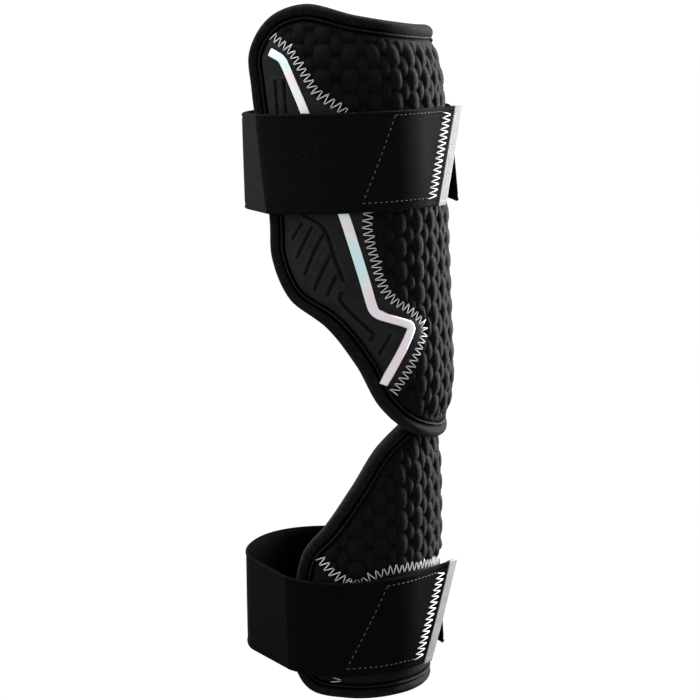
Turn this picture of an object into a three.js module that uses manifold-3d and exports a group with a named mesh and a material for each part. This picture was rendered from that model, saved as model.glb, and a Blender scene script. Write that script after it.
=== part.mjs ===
import * as THREE from "three";
import Module from "manifold-3d";

// Batter's elbow guard: an upper arm pad and a forearm pad, each with an elastic strap.
// Millimetres. +Z runs up the arm, the guarded outside of the arm faces -Y, left is -X.
// The origin lies on the arm's axis at the elbow, where the two pads meet.

// The arm side of each pad: half width across the arm, reach to the front and reach to the back
const UPPER_FORM = [
  { up: 0, halfWidth: 45, front: 39.4, back: 68 },
  { up: 90, halfWidth: 45, front: 35.2, back: 68 },
  { up: 180, halfWidth: 45, front: 31.6, back: 68 },
];
const LOWER_FORM = [
  { up: -112, halfWidth: 37.5, front: 32.4, back: 60 },
  { up: -50, halfWidth: 42.5, front: 34.3, back: 60 },
  { up: 20, halfWidth: 38.5, front: 32.4, back: 60 },
];

// Cut edge of the left half of each pad, from the front line at the top round to the front line at
// the bottom: millimetres round the arm from the front line, and millimetres above the elbow
const UPPER_OUTLINE = [
  { round: 0, up: 179.2 },
  { round: 25, up: 180.4 },
  { round: 47, up: 183.3 },
  { round: 68.5, up: 188 },
  { round: 84, up: 182.2 },
  { round: 93, up: 168 },
  { round: 92, up: 152 },
  { round: 84, up: 99 },
  { round: 82.8, up: 81 },
  { round: 75, up: 64 },
  { round: 60.5, up: 53 },
  { round: 49, up: 36 },
  { round: 40, up: 18 },
  { round: 29, up: 7.4 },
  { round: 15.5, up: 1.7 },
  { round: 0, up: -0.3 },
];
const LOWER_OUTLINE = [
  { round: 0, up: 12 },
  { round: 14, up: 11 },
  { round: 25, up: 7.2 },
  { round: 37, up: -1 },
  { round: 48.5, up: -18 },
  { round: 58.5, up: -34 },
  { round: 67, up: -45 },
  { round: 70.5, up: -58 },
  { round: 72.5, up: -95 },
  { round: 66, up: -107.5 },
  { round: 50, up: -111.2 },
  { round: 24, up: -112.6 },
  { round: 0, up: -113 },
];

// Seam between the quilted cover and the plain one on the left half of each pad
const UPPER_SEAM = [
  { round: 93, up: 183 },
  { round: 78.4, up: 172.8 },
  { round: 72.4, up: 168.6 },
  { round: 69.2, up: 163.6 },
  { round: 65.6, up: 157.4 },
  { round: 61.8, up: 151.2 },
  { round: 56, up: 146.4 },
  { round: 50, up: 141 },
  { round: 45, up: 129 },
  { round: 43.6, up: 112 },
  { round: 45.6, up: 96 },
  { round: 43.6, up: 84.5 },
  { round: 38.4, up: 66.4 },
  { round: 27.5, up: 58 },
  { round: 21.2, up: 50.6 },
  { round: 25.4, up: 40.4 },
  { round: 34.2, up: 24.2 },
  { round: 46, up: -4 },
];
const LOWER_SEAM = [
  { round: 75, up: -34 },
  { round: 60.5, up: -47 },
  { round: 52, up: -56.4 },
  { round: 46, up: -58 },
  { round: 38, up: -54.4 },
  { round: 20, up: -54.4 },
  { round: 0, up: -56.8 },
];

// Accent stripe on the left wing: corners of its middle line and how far each corner is rounded
const ACCENT = [
  { round: 81.6, up: 168, ease: 0 },
  { round: 75.6, up: 165.2, ease: 4 },
  { round: 66.2, up: 143.2, ease: 12 },
  { round: 53.6, up: 101.4, ease: 14 },
  { round: 43.6, up: 58.4, ease: 6 },
  { round: 28.2, up: 52.4, ease: 5 },
  { round: 39.3, up: 27.6, ease: 0 },
];
const ACCENT_WIDTH = 3.9;
const ACCENT_THICK = 0.8;

// The right lobe is lower: by how much, from which distance round the arm and between which heights
const LOBE_DROP = 11;
const LOBE_START = 55;
const LOBE_FOOT = 135;
const LOBE_TOP = 188;

// Padding: thickness under the binding, extra thickness in the middle and the width of the slope
const UPPER_PADDING = { edge: 5, rise: 4.4, slope: 22 };
const LOWER_PADDING = { edge: 5, rise: 3, slope: 22 };
const COVER = 1.5;
const GAP = 0.3;

// How far the blocks that part the covers along a seam reach under and over the arm side
const BLOCK_UNDER = 2;
const BLOCK_OVER = 15;

// Binding tape: how far it reaches in from the edge, its thickness and its outer corner radius
const HEM = 6.5;
const TAPE = 1.5;
const ROLL = 2.4;

// Straps: a band round the arm whose ends leave the pad straight and are cut at a slant. It climbs
// with each millimetre towards the back, by one rate before the arm's axis and by another behind it.
const UPPER_STRAP = {
  form: UPPER_FORM,
  width: 42,
  thick: 1.6,
  centre: 122,
  climb: { front: -0.03, back: -0.03 },
  standOff: 10.9,
  back: 39.2,
  square: { low: 2.45, high: 2.85 },
  spread: { low: 0, high: 0 },
  leaveLeft: 25,
  leaveRight: -25,
  tailLeft: { low: 7.4, high: 23.5 },
  tailRight: { low: 18.5, high: 5 },
  tab: 7,
};
const LOWER_STRAP = {
  form: LOWER_FORM,
  width: 43,
  thick: 1.6,
  centre: -78.2,
  climb: { front: 0, back: 0.1 },
  standOff: 8.4,
  back: 41.8,
  square: { low: 2, high: 2 },
  spread: { low: 0, high: 2.5 },
  leaveLeft: 25,
  leaveRight: -38,
  tailLeft: { low: 3, high: 23 },
  tailRight: { low: 13.5, high: 1 },
  tab: 7,
};

// Fineness of the faceted solids
const UPPER_PAD = {
  outline: UPPER_OUTLINE,
  topCorner: new THREE.Vector2(86, 181),
  bottomCorner: new THREE.Vector2(36, 13),
  columns: 18,
  rows: 18,
};
const LOWER_PAD = {
  outline: LOWER_OUTLINE,
  topCorner: new THREE.Vector2(33, 2),
  bottomCorner: new THREE.Vector2(70, -104),
  columns: 14,
  rows: 10,
};
const CROWDING = 0.45;
const CUT_COLUMNS = 14;
const STRAP_STEPS = 46;
const TAIL_STEPS = 3;

const INK = new THREE.Color(0.02, 0.02, 0.022);
const SILVER = new THREE.Color(0.78, 0.78, 0.82);
const TAN = new THREE.Color(0.72, 0.72, 0.72);

const { clamp, degToRad, lerp, smoothstep } = THREE.MathUtils;
const wasm = await Module();
wasm.setup();
const { Manifold, Mesh } = wasm;

// A value of a form at a given height
function formAt(form, column, up) {
  const heights = form.map((row) => row.up);
  const values = form.map((row) => row[column]);
  const curve = new THREE.CubicInterpolant(heights, values, 1);
  return curve.evaluate(clamp(up, heights[0], heights.at(-1)))[0];
}

// Lengths round the middle section of a form, one entry a degree from the front line
function girthTable(form) {
  const middle = form[1];
  const lengths = [0];
  let last = new THREE.Vector2(0, -middle.front);
  for (let degree = 1; degree <= 170; degree += 1) {
    const next = ovalPoint(middle, degToRad(degree));
    lengths.push(lengths.at(-1) + next.distanceTo(last));
    last = next;
  }
  return lengths;
}

function ovalPoint(size, angle) {
  const reach = Math.cos(angle) >= 0 ? size.front : size.back;
  return new THREE.Vector2(-size.halfWidth * Math.sin(angle), -reach * Math.cos(angle));
}

function ovalNormal(size, angle) {
  const reach = Math.cos(angle) >= 0 ? size.front : size.back;
  return new THREE.Vector2(-Math.sin(angle) / size.halfWidth, -Math.cos(angle) / reach).normalize();
}

function sizeAt(form, up) {
  return {
    halfWidth: formAt(form, "halfWidth", up),
    front: formAt(form, "front", up),
    back: formAt(form, "back", up),
  };
}

// Turns a point of the flat pattern into a place on the pad, a given distance out from the arm side
function wrapper(form) {
  const lengths = girthTable(form);
  return (flat, out) => {
    const span = Math.abs(flat.x);
    let degree = lengths.findIndex((length) => length > span) - 1;
    degree = degree < 0 ? lengths.length - 2 : degree;
    const part = (span - lengths[degree]) / (lengths[degree + 1] - lengths[degree]);
    const angle = Math.sign(flat.x) * degToRad(degree + part);
    const size = sizeAt(form, flat.y);
    const place = ovalPoint(size, angle).addScaledVector(ovalNormal(size, angle), out);
    return new THREE.Vector3(place.x, place.y, flat.y);
  };
}

// The matching pattern point of the right half, whose lobe stands lower than the left one
function toRight(p) {
  const drop = LOBE_DROP * smoothstep(p.x, 0, LOBE_START) * smoothstep(p.y, LOBE_FOOT, LOBE_TOP);
  return new THREE.Vector2(-p.x, p.y - drop);
}

// Whole cut edge of a pad as pattern points: top, left side, bottom and right side in that order.
// Points stand closer together towards the corners, where the padding slopes.
function cutEdge(pad) {
  const left = pad.outline.map((row) => new THREE.Vector3(row.round, row.up, 0));
  const right = left.slice(1, -1).reverse().map((p) => new THREE.Vector3(-p.x, p.y, 0));
  const curve = new THREE.CatmullRomCurve3([...left, ...right], true);
  curve.arcLengthDivisions = 2000;
  const fine = curve.getSpacedPoints(2000).slice(0, 1001).map((p) => new THREE.Vector2(p.x, p.y));
  const top = nearest(fine, pad.topCorner);
  const bottom = nearest(fine, pad.bottomCorner);
  const crowd = (share) => lerp(share, (1 - Math.cos(Math.PI * share)) / 2, CROWDING);
  const half = [];
  for (let i = 0; i < pad.columns / 2; i += 1) {
    half.push(fine[Math.round(top * (2 * crowd(0.5 + i / pad.columns) - 1))]);
  }
  for (let i = 0; i < pad.rows; i += 1) {
    half.push(fine[Math.round(lerp(top, bottom, crowd(i / pad.rows)))]);
  }
  for (let i = 0; i <= pad.columns / 2; i += 1) {
    half.push(fine[Math.round(lerp(bottom, 1000, 2 * crowd(i / pad.columns)))]);
  }
  return [...half, ...mirror(half).slice(1, -1)];
}

function nearest(points, goal) {
  let best = 0;
  points.forEach((p, i) => {
    best = p.distanceTo(goal) < points[best].distanceTo(goal) ? i : best;
  });
  return best;
}

// Unit direction out of the pad at every point of a closed pattern edge
function outward(edge) {
  return edge.map((_, i) => {
    const before = edge[(i + edge.length - 1) % edge.length];
    const after = edge[(i + 1) % edge.length];
    const along = after.clone().sub(before).normalize();
    return new THREE.Vector2(-along.y, along.x);
  });
}

function inset(edge, by) {
  const out = outward(edge);
  return edge.map((p, i) => p.clone().addScaledVector(out[i], -by));
}

// Shortest way from a pattern point to the cut edge
function depthIn(edge, point) {
  let best = Infinity;
  edge.forEach((from, i) => {
    const along = edge[(i + 1) % edge.length].clone().sub(from);
    const part = clamp(point.clone().sub(from).dot(along) / along.lengthSq(), 0, 1);
    best = Math.min(best, point.distanceTo(from.clone().addScaledVector(along, part)));
  });
  return best;
}

// Padding thickness: flat under the binding, then a rounded slope up to the full thickness
function thickness(edge, padding) {
  return (point) => {
    const run = clamp((depthIn(edge, point) - HEM) / padding.slope, 0, 1);
    return padding.edge + padding.rise * (1 - (1 - run) ** 2);
  };
}

function resample(points, steps) {
  const curve = new THREE.SplineCurve(points);
  curve.arcLengthDivisions = 800;
  return curve.getSpacedPoints(steps);
}

function shift(points, by) {
  return points.map((p, i) => {
    const before = points[Math.max(i - 1, 0)];
    const after = points[Math.min(i + 1, points.length - 1)];
    const along = after.clone().sub(before).normalize();
    return new THREE.Vector2(p.x + along.y * by, p.y - along.x * by);
  });
}

function mirror(points) {
  return points.map(toRight).reverse();
}

// Flat pattern piece: rings along the cut edge, the innermost filled with a grid that blends its sides
function gridPiece(rings, columns, rows) {
  const points = rings.flat();
  const count = rings[0].length;
  const layers = rings.map((ring, row) => ring.map((_, i) => row * count + i));
  const rim = rings.at(-1);
  const corner = columns / 2;
  const topAt = (k) => (corner - k + count) % count;
  const bottomAt = (k) => corner + rows + k;
  const leftAt = (j) => corner + j;
  const rightAt = (j) => count - corner - j;
  const number = (k, j) => {
    const ring = j === 0 ? topAt(k) : j === rows ? bottomAt(k) : k === 0 ? leftAt(j) : rightAt(j);
    if (j === 0 || j === rows || k === 0 || k === columns) {
      return layers.at(-1)[ring];
    }
    const [s, t] = [k / columns, j / rows];
    const along = rim[topAt(k)].clone().lerp(rim[bottomAt(k)], t);
    const across = rim[leftAt(j)].clone().lerp(rim[rightAt(j)], s);
    const upper = rim[topAt(0)].clone().lerp(rim[topAt(columns)], s);
    const lower = rim[bottomAt(0)].clone().lerp(rim[bottomAt(columns)], s);
    return points.push(along.add(across).sub(upper.lerp(lower, t))) - 1;
  };
  const cells = [];
  for (let j = 0; j <= rows; j += 1) {
    cells.push(Array.from({ length: columns + 1 }, (_, k) => number(columns - k, j)));
  }
  return { points, triangles: [...stitch(layers, true), ...stitch(cells, false)], rim: layers[0] };
}

// Flat pattern piece filled with straight rows between two matching lines
function stripPiece(first, second, columns) {
  const points = [];
  const layers = [];
  for (let column = 0; column <= columns; column += 1) {
    layers.push(first.map((p, i) => points.push(p.clone().lerp(second[i], column / columns)) - 1));
  }
  const rim = [
    ...layers[0],
    ...layers.slice(1, -1).map((layer) => layer.at(-1)),
    ...layers.at(-1).slice().reverse(),
    ...layers.slice(1, -1).reverse().map((layer) => layer[0]),
  ];
  return { points, triangles: stitch(layers, false), rim };
}

// Triangles between neighbouring layers of point numbers
function stitch(layers, closed) {
  const triangles = [];
  for (let row = 0; row + 1 < layers.length; row += 1) {
    const count = closed ? layers[row].length : layers[row].length - 1;
    for (let i = 0; i < count; i += 1) {
      const j = (i + 1) % layers[row].length;
      const [a, b] = [layers[row][i], layers[row][j]];
      const [c, d] = [layers[row + 1][j], layers[row + 1][i]];
      triangles.push([a, b, c], [a, c, d]);
    }
  }
  return triangles.filter(([a, b, c]) => a !== b && b !== c && c !== a);
}

function meshOf(name, vertices, triangles, colour) {
  let volume = 0;
  triangles.forEach(([a, b, c]) => {
    volume += vertices[a].dot(vertices[b].clone().cross(vertices[c]));
  });
  const faces = volume < 0 ? triangles.map(([a, b, c]) => [a, c, b]) : triangles;
  const numbers = vertices.flatMap((v) => v.toArray());
  const geometry = new THREE.BufferGeometry();
  geometry.setAttribute("position", new THREE.Float32BufferAttribute(numbers, 3));
  geometry.setIndex(faces.flat());
  geometry.computeVertexNormals();
  const material = new THREE.MeshStandardMaterial({ color: colour, roughness: 0.9 });
  const mesh = new THREE.Mesh(geometry, material);
  mesh.name = name;
  return mesh;
}

// Closed sheet: a flat piece placed at its low and its high face, with a wall round its rim
function sheet(name, piece, place, low, high, colour) {
  const count = piece.points.length;
  const vertices = [
    ...piece.points.map((p) => place(p, high(p))),
    ...piece.points.map((p) => place(p, low(p))),
  ];
  const triangles = [];
  piece.triangles.forEach(([a, b, c]) => {
    triangles.push([a, b, c], [a + count, c + count, b + count]);
  });
  const sides = piece.triangles.flatMap(([a, b, c]) => [`${a}-${b}`, `${b}-${c}`, `${c}-${a}`]);
  const directed = new Set(sides);
  piece.rim.forEach((a, i) => {
    const b = piece.rim[(i + 1) % piece.rim.length];
    const [from, to] = directed.has(`${a}-${b}`) ? [a, b] : [b, a];
    triangles.push([to, from, from + count], [to, from + count, to + count]);
  });
  return meshOf(name, vertices, triangles, colour);
}

function toSolid(mesh) {
  const vertProperties = new Float32Array(mesh.geometry.getAttribute("position").array);
  const triVerts = new Uint32Array(mesh.geometry.getIndex().array);
  return new Manifold(new Mesh({ numProp: 3, vertProperties, triVerts }));
}

function fromSolid(name, solid, colour) {
  const { numProp, vertProperties, triVerts } = solid.getMesh();
  const vertices = [];
  for (let i = 0; i < vertProperties.length; i += numProp) {
    vertices.push(new THREE.Vector3(...vertProperties.slice(i, i + 3)));
  }
  const triangles = [];
  for (let i = 0; i < triVerts.length; i += 3) {
    triangles.push([triVerts[i], triVerts[i + 1], triVerts[i + 2]]);
  }
  return meshOf(name, vertices, triangles, colour);
}

// Block that takes in one side of a seam, through the whole thickness of the pad
function seamBlock(first, second, place) {
  const piece = stripPiece(first, second, CUT_COLUMNS);
  return toSolid(sheet("block", piece, place, () => -BLOCK_UNDER, () => BLOCK_OVER, INK));
}

// Binding: a folded tape profile carried round the cut edge
function binding(name, edge, place, padding) {
  const thick = padding.edge;
  const profile = [{ inward: HEM, out: thick }];
  for (let turn = 90; turn >= -90; turn -= 36) {
    const angle = degToRad(turn);
    const lift = Math.sin(angle) * (thick / 2);
    profile.push({ inward: ROLL * (1 - Math.cos(angle)), out: thick / 2 + lift });
  }
  profile.push({ inward: HEM, out: 0 }, { inward: HEM, out: TAPE });
  profile.push({ inward: TAPE, out: TAPE }, { inward: TAPE, out: thick - TAPE });
  profile.push({ inward: HEM, out: thick - TAPE });
  const vertices = [];
  const out = outward(edge);
  const layers = edge.map((p, i) => profile.map((corner) => {
    return vertices.push(place(p.clone().addScaledVector(out[i], -corner.inward), corner.out)) - 1;
  }));
  return meshOf(name, vertices, stitch([...layers, layers[0]], true), INK);
}

// Place on a strap: distance past the left leaving point, height share from the lower edge, face
function strapPlace(strap) {
  const plan = (degree, share, out) => {
    const angle = degToRad(degree);
    const up = strap.centre + (share - 0.5) * strap.width;
    const size = sizeAt(strap.form, up);
    const grow = strap.standOff + out + lerp(strap.spread.low, strap.spread.high, share);
    const wide = size.halfWidth + grow;
    if (Math.cos(angle) >= 0) {
      const reach = size.front + strap.standOff + out;
      return new THREE.Vector2(-wide * Math.sin(angle), -reach * Math.cos(angle));
    }
    const power = 2 / lerp(strap.square.low, strap.square.high, share);
    const side = -Math.sign(Math.sin(angle)) * Math.abs(Math.sin(angle)) ** power;
    return new THREE.Vector2(wide * side, (strap.back + out) * Math.abs(Math.cos(angle)) ** power);
  };
  return (degree, tail, share, out) => {
    const spot = plan(degree, share, out);
    if (tail !== 0) {
      const step = Math.sign(tail) * 0.5;
      const along = plan(degree, share, out).sub(plan(degree + step, share, out)).normalize();
      spot.addScaledVector(along, Math.abs(tail));
    }
    const climb = spot.y < 0 ? strap.climb.front : strap.climb.back;
    const up = strap.centre + (share - 0.5) * strap.width + climb * spot.y;
    return new THREE.Vector3(spot.x, spot.y, up);
  };
}

// One row of strap stations: wrapped stretch by angle, straight tails by length
function strapStations(strap) {
  const stations = [];
  const start = strap.leaveLeft;
  const end = 360 + strap.leaveRight;
  const slant = (tail, part) => (share) => lerp(tail.low, tail.high, share) * part;
  for (let i = TAIL_STEPS; i > 0; i -= 1) {
    stations.push({ degree: start, tail: slant(strap.tailLeft, i / TAIL_STEPS) });
  }
  for (let i = 0; i <= STRAP_STEPS; i += 1) {
    stations.push({ degree: lerp(start, end, i / STRAP_STEPS), tail: () => 0 });
  }
  for (let i = 1; i <= TAIL_STEPS; i += 1) {
    stations.push({ degree: end, tail: slant(strap.tailRight, -i / TAIL_STEPS) });
  }
  return stations;
}

function strapMesh(name, strap) {
  const place = strapPlace(strap);
  const stations = strapStations(strap);
  const line = (share) => stations.map((_, i) => new THREE.Vector2(i, share));
  const piece = stripPiece(line(0), line(1), 2);
  const spot = (p, out) => place(stations[p.x].degree, stations[p.x].tail(p.y), p.y, out);
  return sheet(name, piece, spot, () => 0, () => strap.thick, INK);
}

// Pull tab: a folded tape carried on straight from the strap's slanted left end
function tabMesh(name, strap) {
  const place = strapPlace(strap);
  const end = (share) => lerp(strap.tailLeft.low, strap.tailLeft.high, share);
  const line = (past) => [0, 0.25, 0.5, 0.75, 1].map((share) => new THREE.Vector2(past, share));
  const piece = stripPiece(line(GAP), line(strap.tab), 2);
  const spot = (p, out) => place(strap.leaveLeft, end(p.y) + p.x, p.y, out);
  return sheet(name, piece, spot, () => 0, () => strap.thick, TAN);
}

// Middle line of the accent stripe with its corners rounded
function accentLine() {
  const path = new THREE.Path();
  const corner = (row) => new THREE.Vector2(row.round, row.up);
  path.moveTo(ACCENT[0].round, ACCENT[0].up);
  for (let i = 1; i + 1 < ACCENT.length; i += 1) {
    const here = corner(ACCENT[i]);
    const back = corner(ACCENT[i - 1]).sub(here).setLength(ACCENT[i].ease).add(here);
    const ahead = corner(ACCENT[i + 1]).sub(here).setLength(ACCENT[i].ease).add(here);
    path.lineTo(back.x, back.y);
    path.quadraticCurveTo(here.x, here.y, ahead.x, ahead.y);
  }
  path.lineTo(ACCENT.at(-1).round, ACCENT.at(-1).up);
  return path.getSpacedPoints(36);
}

const flat = (rows) => rows.map((row) => new THREE.Vector2(row.round, row.up));
const flip = (piece) => ({ ...piece, points: piece.points.map(toRight) });

function upperPad() {
  const place = wrapper(UPPER_FORM);
  const edge = cutEdge(UPPER_PAD);
  const full = thickness(edge, UPPER_PADDING);
  const low = (p) => full(p) - COVER;
  const hem = inset(edge, HEM + GAP);
  const core = gridPiece([inset(edge, TAPE + 2 * GAP), hem], UPPER_PAD.columns, UPPER_PAD.rows);
  const whole = gridPiece([hem], UPPER_PAD.columns, UPPER_PAD.rows);
  const cover = toSolid(sheet("cover", whole, place, low, full, INK));

  const seam = resample(flat(UPPER_SEAM), 40);
  const inFront = shift(seam, GAP / 2);
  const behind = shift(seam, -GAP / 2);
  const quilt = cover.intersect(seamBlock(inFront, mirror(inFront).reverse(), place));
  const wings = cover.subtract(seamBlock(behind, mirror(behind).reverse(), place)).decompose();
  wings.sort((a, b) => a.boundingBox().min[0] - b.boundingBox().min[0]);

  const middle = accentLine();
  const stripe = stripPiece(shift(middle, ACCENT_WIDTH / 2), shift(middle, -ACCENT_WIDTH / 2), 1);
  const stripeLow = (p) => full(p) + GAP;
  const stripeHigh = (p) => full(p) + GAP + ACCENT_THICK;
  return [
    sheet("upper_pad_core", core, place, () => TAPE + 2 * GAP, (p) => low(p) - GAP, INK),
    fromSolid("upper_quilted_panel", quilt, INK),
    fromSolid("upper_side_panel_left", wings[0], INK),
    fromSolid("upper_side_panel_right", wings.at(-1), INK),
    sheet("upper_accent_left", stripe, place, stripeLow, stripeHigh, SILVER),
    sheet("upper_accent_right", flip(stripe), place, stripeLow, stripeHigh, SILVER),
    binding("upper_edge_binding", edge, place, UPPER_PADDING),
  ];
}

function lowerPad() {
  const place = wrapper(LOWER_FORM);
  const edge = cutEdge(LOWER_PAD);
  const full = thickness(edge, LOWER_PADDING);
  const low = (p) => full(p) - COVER;
  const hem = inset(edge, HEM + GAP);
  const core = gridPiece([inset(edge, TAPE + 2 * GAP), hem], LOWER_PAD.columns, LOWER_PAD.rows);
  const whole = gridPiece([hem], LOWER_PAD.columns, LOWER_PAD.rows);
  const cover = toSolid(sheet("cover", whole, place, low, full, INK));

  const half = resample(flat(LOWER_SEAM), 14);
  const seam = [...half, ...mirror(half).slice(1)];
  const above = shift(seam, GAP / 2);
  const below = shift(seam, -GAP / 2);
  const ceiling = seam.map((p) => new THREE.Vector2(p.x, 30));
  return [
    sheet("lower_pad_core", core, place, () => TAPE + 2 * GAP, (p) => low(p) - GAP, INK),
    fromSolid("lower_quilted_panel", cover.intersect(seamBlock(above, ceiling, place)), INK),
    fromSolid("lower_cuff_panel", cover.subtract(seamBlock(below, ceiling, place)), INK),
    binding("lower_edge_binding", edge, place, LOWER_PADDING),
  ];
}

const group = new THREE.Group();
group.add(...upperPad(), ...lowerPad());
group.add(strapMesh("upper_strap", UPPER_STRAP), tabMesh("upper_pull_tab", UPPER_STRAP));
group.add(strapMesh("lower_strap", LOWER_STRAP), tabMesh("lower_pull_tab", LOWER_STRAP));

export default group;
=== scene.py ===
"""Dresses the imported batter's elbow guard: quilted pads, bound edges, elastic straps and stitching.

The pads are cut from a flat pattern. A pattern point holds the distance round the arm from the front
line, positive on the left, and the height above the elbow. Everything is in metres, in the frame's axes.
"""

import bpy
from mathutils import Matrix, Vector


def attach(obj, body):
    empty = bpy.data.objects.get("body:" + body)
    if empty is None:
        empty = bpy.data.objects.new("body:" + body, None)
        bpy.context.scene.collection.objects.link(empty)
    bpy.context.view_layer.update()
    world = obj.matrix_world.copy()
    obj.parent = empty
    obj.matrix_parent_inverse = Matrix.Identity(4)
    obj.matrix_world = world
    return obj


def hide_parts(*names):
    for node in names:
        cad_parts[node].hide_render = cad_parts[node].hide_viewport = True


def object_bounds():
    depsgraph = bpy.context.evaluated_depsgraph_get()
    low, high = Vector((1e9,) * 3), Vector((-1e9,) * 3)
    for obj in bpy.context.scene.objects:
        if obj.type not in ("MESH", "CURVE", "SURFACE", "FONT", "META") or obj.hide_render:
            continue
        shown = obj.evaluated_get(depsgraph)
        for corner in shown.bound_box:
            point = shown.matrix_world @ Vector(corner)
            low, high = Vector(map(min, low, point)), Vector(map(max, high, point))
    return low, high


bl_info = {
    "name": "Batter's elbow guard",
    "version": (1, 0, 0),
    "blender": (4, 5, 0),
    "location": "3D View > Sidebar > Elbow guard",
    "description": "Dresses the packed elbow guard in quilted cloth, binding, elastic and stitching",
    "category": "Object",
}

import bpy
import numpy as np
from bpy.props import FloatProperty, FloatVectorProperty, PointerProperty
from mathutils import Vector

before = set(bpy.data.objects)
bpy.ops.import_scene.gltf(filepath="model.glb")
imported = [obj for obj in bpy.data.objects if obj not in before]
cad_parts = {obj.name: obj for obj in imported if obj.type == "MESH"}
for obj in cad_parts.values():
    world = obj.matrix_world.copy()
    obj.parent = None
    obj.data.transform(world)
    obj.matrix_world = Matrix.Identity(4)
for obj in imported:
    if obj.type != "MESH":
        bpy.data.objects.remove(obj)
CAD_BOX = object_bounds()
MM = 0.001


def table(columns, *rows):
    """A short table with named columns, written in millimetres and kept in metres."""
    kinds = [(column, float) for column in columns.split()]
    return np.array([tuple(value * MM for value in row) for row in rows], dtype=kinds)


def points_of(rows, columns=("round", "up")):
    """Points whose coordinates are the named columns of a table."""
    return np.stack([rows[column] for column in columns], -1)


# Arm side of each pad: half width across the arm, reach to the front and reach to the back
UPPER_FORM = table(
    "up half_width front back",
    (0, 45, 39.4, 68),
    (90, 45, 35.2, 68),
    (180, 45, 31.6, 68),
)
LOWER_FORM = table(
    "up half_width front back",
    (-112, 37.5, 32.4, 60),
    (-50, 42.5, 34.3, 60),
    (20, 38.5, 32.4, 60),
)

# Cut edge of the left half of each pad, from the front line at the top to the front line at the bottom
UPPER_OUTLINE = table(
    "round up",
    (0, 179.2), (25, 180.4), (47, 183.3), (68.5, 188), (84, 182.2), (93, 168), (92, 152), (84, 99),
    (82.8, 81), (75, 64), (60.5, 53), (49, 36), (40, 18), (29, 7.4), (15.5, 1.7), (0, -0.3),
)
LOWER_OUTLINE = table(
    "round up",
    (0, 12), (14, 11), (25, 7.2), (37, -1), (48.5, -18), (58.5, -34), (67, -45),
    (70.5, -58), (72.5, -95), (66, -107.5), (50, -111.2), (24, -112.6), (0, -113),
)

# Seams between the quilted covers and the plain ones, on the left half of each pad
UPPER_SEAM = table(
    "round up",
    (93, 183), (78.4, 172.8), (72.4, 168.6), (69.2, 163.6), (65.6, 157.4), (61.8, 151.2),
    (56, 146.4), (50, 141), (45, 129), (43.6, 112), (45.6, 96), (43.6, 84.5),
    (38.4, 66.4), (27.5, 58), (21.2, 50.6), (25.4, 40.4), (34.2, 24.2), (46, -4),
)
LOWER_SEAM = table(
    "round up",
    (75, -34), (60.5, -47), (52, -56.4), (46, -58), (38, -54.4), (20, -54.4), (0, -56.8),
)
CUFF_SEAM = table("round up", (48, -57), (52, -80), (54.2, -103.6))

# Accent stripe on the left wing: corners of its middle line and how far each corner is rounded
ACCENT = table(
    "round up ease",
    (81.6, 168, 0), (75.6, 165.2, 2.4), (66.2, 143.2, 7.2), (53.6, 101.4, 8.4),
    (43.6, 58.4, 3.6), (28.2, 52.4, 3), (39.3, 27.6, 0),
)
ACCENT_WIDTH = 3.4 * MM
ACCENT_THICK = 0.8 * MM
ACCENT_FALL = 0.55

# Pressed lines of the left wing: a long rim, a low hook and the two ends of each slash
WING_RIM = table(
    "round up",
    (70, 103), (66.7, 100.1), (61.2, 96.8), (58.9, 92.3), (56.7, 83), (53.9, 72.9),
)
WING_HOOK = table(
    "round up",
    (54.5, 67.8), (54.9, 64.9), (52.3, 60.6), (44.4, 51), (43.3, 49.6), (44.1, 47.1),
)
WING_SLASHES = table(
    "round up to_round to_up",
    (68.4, 96.7, 72.5, 90.2),
    (63.9, 95.5, 70.5, 82.3),
    (60.2, 92.2, 67.2, 75.2),
    (58, 83.4, 63.6, 68.6),
    (56.1, 75, 59, 67),
    (37.2, 49.1, 40.9, 40.9),
    (75.4, 156, 74.4, 141),
    (79.4, 156, 78.4, 141),
)

# Lips beside a pressed line: distance in half widths of the line, and height as a share of its depth
LIP_PLACE = 2.4
LIP_SHARE = 0.25

# Quilting: centre of one tall cell on the upper pad and on the forearm pad, then the cells' half sizes as
# shares of column and pitch, the powers of their domes, and how far the meetings of cells are rounded
QUILT_START = table("round up", (13.95, 96), (9.6, -33.3))
TALL_HALF = np.array((0.35, 0.54))
TALL_POWER = np.array((2.4, 2.6))
LOW_HALF = np.array((0.26, 0.48))
LOW_POWER = np.array((2.2, 2.4))
MEETING = 0.06 * MM

# Stitching near a strap's slanted end: distance back from the end and height over the lower edge
END_ZIGZAG = table("back across", (5.4, 39.6), (5.8, 3.4))
END_BOX = table("back across", (10, 40), (41.5, 40), (43.6, 4), (9.4, 4))

# The right lobe is lower: by how much, from which distance round the arm and between which heights
LOBE_DROP = 11 * MM
LOBE_START = 55 * MM
LOBE_FOOT = 135 * MM
LOBE_TOP = 188 * MM

# Layers of a pad
HEM = 6.5 * MM
TAPE = 1.5 * MM
COVER = 1.5 * MM
GAP = 0.3 * MM
SLOPE = 22 * MM
LINING_BULGE = 1.4 * MM
LINING_SLOPE = 12 * MM

# Sewn valleys of the covers: depth, half widths at a seam and at the hem, and the deepest place allowed
VALLEY = 0.8 * MM
SEAM_VALLEY_WIDTH = 1.5 * MM
HEM_VALLEY_WIDTH = 0.6 * MM
DEEPEST = 1.2 * MM

# How far from a cover's rim the quilting and the pressed lines reach their full height
QUILT_FADE = 3.5 * MM
WING_FADE = 2 * MM

# Edge tape: turn over the cut edge, bead at the seam, crease beside it and swelling of the flange
ROLL = 2.4 * MM
BEAD = 1.3 * MM
BEAD_HEIGHT = 0.85 * MM
CREASE = 0.5 * MM
CREASE_DROP = 0.35 * MM
SWELL = 1.15 * MM

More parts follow.
